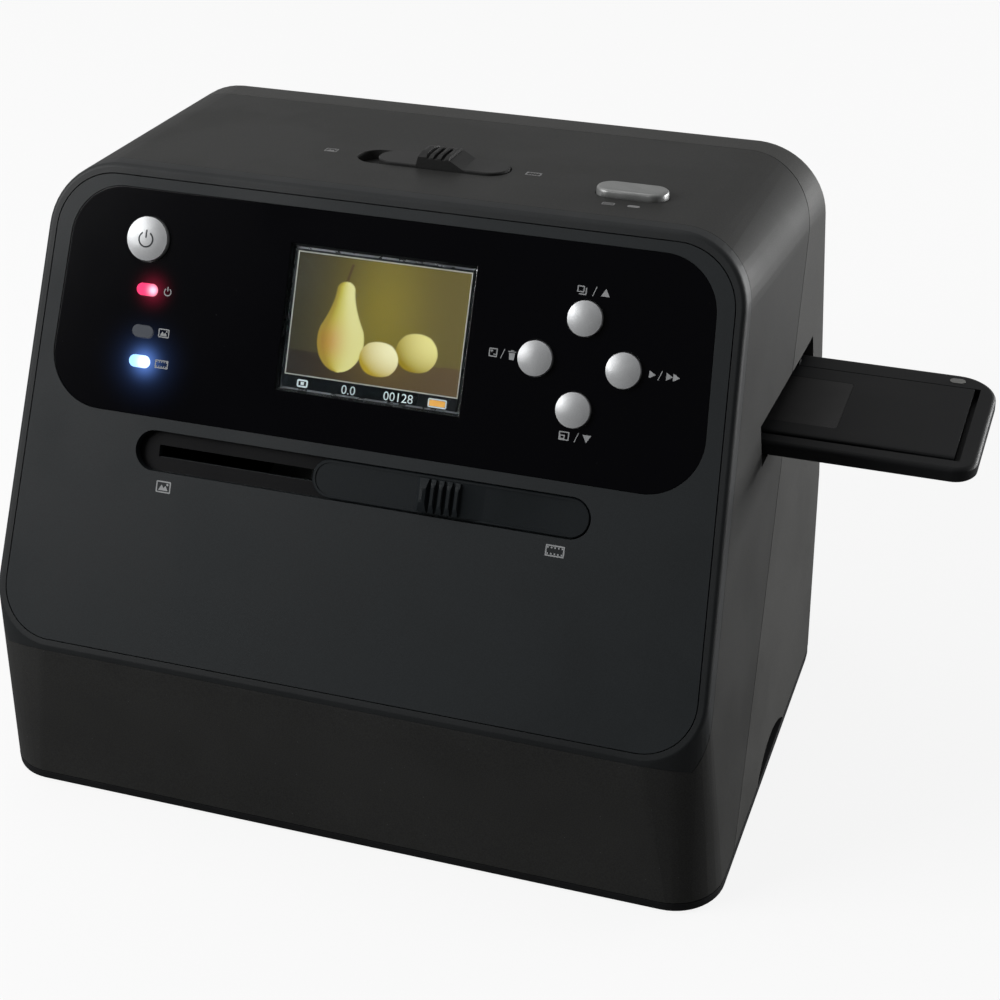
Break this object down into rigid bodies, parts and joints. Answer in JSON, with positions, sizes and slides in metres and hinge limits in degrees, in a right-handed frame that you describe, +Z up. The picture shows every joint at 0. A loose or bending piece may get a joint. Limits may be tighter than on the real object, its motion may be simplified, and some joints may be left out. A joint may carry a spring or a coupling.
{
  "type": "film negative scanner",
  "caption": "Desktop film and photo scanner: wedge-shaped housing with a leaning glossy control panel, a film tray through its sides and an open print window in the base.",
  "frame": {"origin": "centre of the base's underside, at the soles of the feet", "axes": "+X to the right as seen from the front, +Y towards the back, +Z up"},
  "size_m": [0.262, 0.1432, 0.1627],
  "materials": {
    "body": "fine matt texture",
    "front": "fine matt texture",
    "gloss": "gloss",
    "window": "clear",
    "screen": "lit",
    "silver": "satin silver",
    "board": "solder mask",
    "dark": "matt",
    "steel": "satin",
    "lamp": "milky",
    "red_light": "lit",
    "grey_light": "unlit",
    "blue_light": "lit",
    "film": "gloss",
    "lens": "coated",
    "rubber": "matt",
    "battery": "matt",
    "tunnel": "matt white"
  },
  "bodies": {
    "housing": {"main_housing": "body", "rear_cover": "body", "base_plate": "body", "base_screws": "steel", "feet": "rubber", "front_bezel": "front", "front_plate": "front", "display_panel": "gloss", "lcd_window": "window", "lcd_screen": "screen", "lcd_module": "steel", "keypad_board": "board", "key_switches": "dark", "power_light": "red_light", "photo_light": "grey_light", "film_light": "blue_light", "carriage_rails": "steel", "gate_lower": "dark", "gate_upper": "dark", "gate_posts": "dark", "tray_detent": "steel", "scan_switch": "dark", "scan_bracket": "steel", "lens_tower": "dark", "lens_guides": "steel", "main_board": "board", "sd_socket": "dark", "usb_socket": "steel", "tv_socket": "dark", "battery_pack": "battery", "battery_bracket": "steel", "light_tunnel": "tunnel", "photo_lamp_boards": "board", "photo_diffusers": "lamp"},
    "backlight": {"front_slider": "front", "backlight_carriage": "dark", "backlight_diffuser": "lamp", "backlight_board": "board"},
    "film_tray": {"film_tray_base": "body", "film_tray_lid": "body", "tray_hinge_pin": "steel", "tray_mark": "steel", "film_strip": "film"},
    "focus_slider": {"top_slider": "body"},
    "lens": {"lens_carriage": "dark", "lens_barrel": "dark", "lens_glass": "lens", "sensor_board": "board"},
    "scan_key": {"scan_button": "silver"},
    "power_key": {"power_button": "silver"},
    "up_key": {"up_button": "silver"},
    "down_key": {"down_button": "silver"},
    "left_key": {"left_button": "silver"},
    "right_key": {"right_button": "silver"}
  },
  "joints": [
    {"name": "backlight_slide", "type": "slide", "parent": "housing", "child": "backlight", "axis": [1, 0, 0], "range_m": [-0.0496, 0]},
    {"name": "tray_slide", "type": "slide", "parent": "housing", "child": "film_tray", "axis": [1, 0, 0], "range_m": [-0.095, 0.057]},
    {"name": "focus_slide", "type": "slide", "parent": "housing", "child": "focus_slider", "axis": [1, 0, 0], "range_m": [-0.0055, 0]},
    {"name": "lens_lift", "type": "slide", "parent": "housing", "child": "lens", "axis": [0, 0, 1], "range_m": [0, 0.003]},
    {"name": "scan_press", "type": "slide", "parent": "housing", "child": "scan_key", "axis": [0, 0.1096, 0.994], "range_m": [-0.0012, 0], "stiffness_N_per_m": 400, "springref_m": 0.0006},
    {"name": "power_press", "type": "slide", "parent": "housing", "child": "power_key", "axis": [0, -0.8821, 0.471], "range_m": [-0.0008, 0], "stiffness_N_per_m": 500, "springref_m": 0.0006},
    {"name": "up_press", "type": "slide", "parent": "housing", "child": "up_key", "axis": [0, -0.8821, 0.471], "range_m": [-0.0008, 0], "stiffness_N_per_m": 500, "springref_m": 0.0006},
    {"name": "down_press", "type": "slide", "parent": "housing", "child": "down_key", "axis": [0, -0.8821, 0.471], "range_m": [-0.0008, 0], "stiffness_N_per_m": 500, "springref_m": 0.0006},
    {"name": "left_press", "type": "slide", "parent": "housing", "child": "left_key", "axis": [0, -0.8821, 0.471], "range_m": [-0.0008, 0], "stiffness_N_per_m": 500, "springref_m": 0.0006},
    {"name": "right_press", "type": "slide", "parent": "housing", "child": "right_key", "axis": [0, -0.8821, 0.471], "range_m": [-0.0008, 0], "stiffness_N_per_m": 500, "springref_m": 0.0006}
  ],
  "couplings": [
    {"joint": "lens_lift", "follows": "focus_slide", "ratio": -0.5}
  ]
}
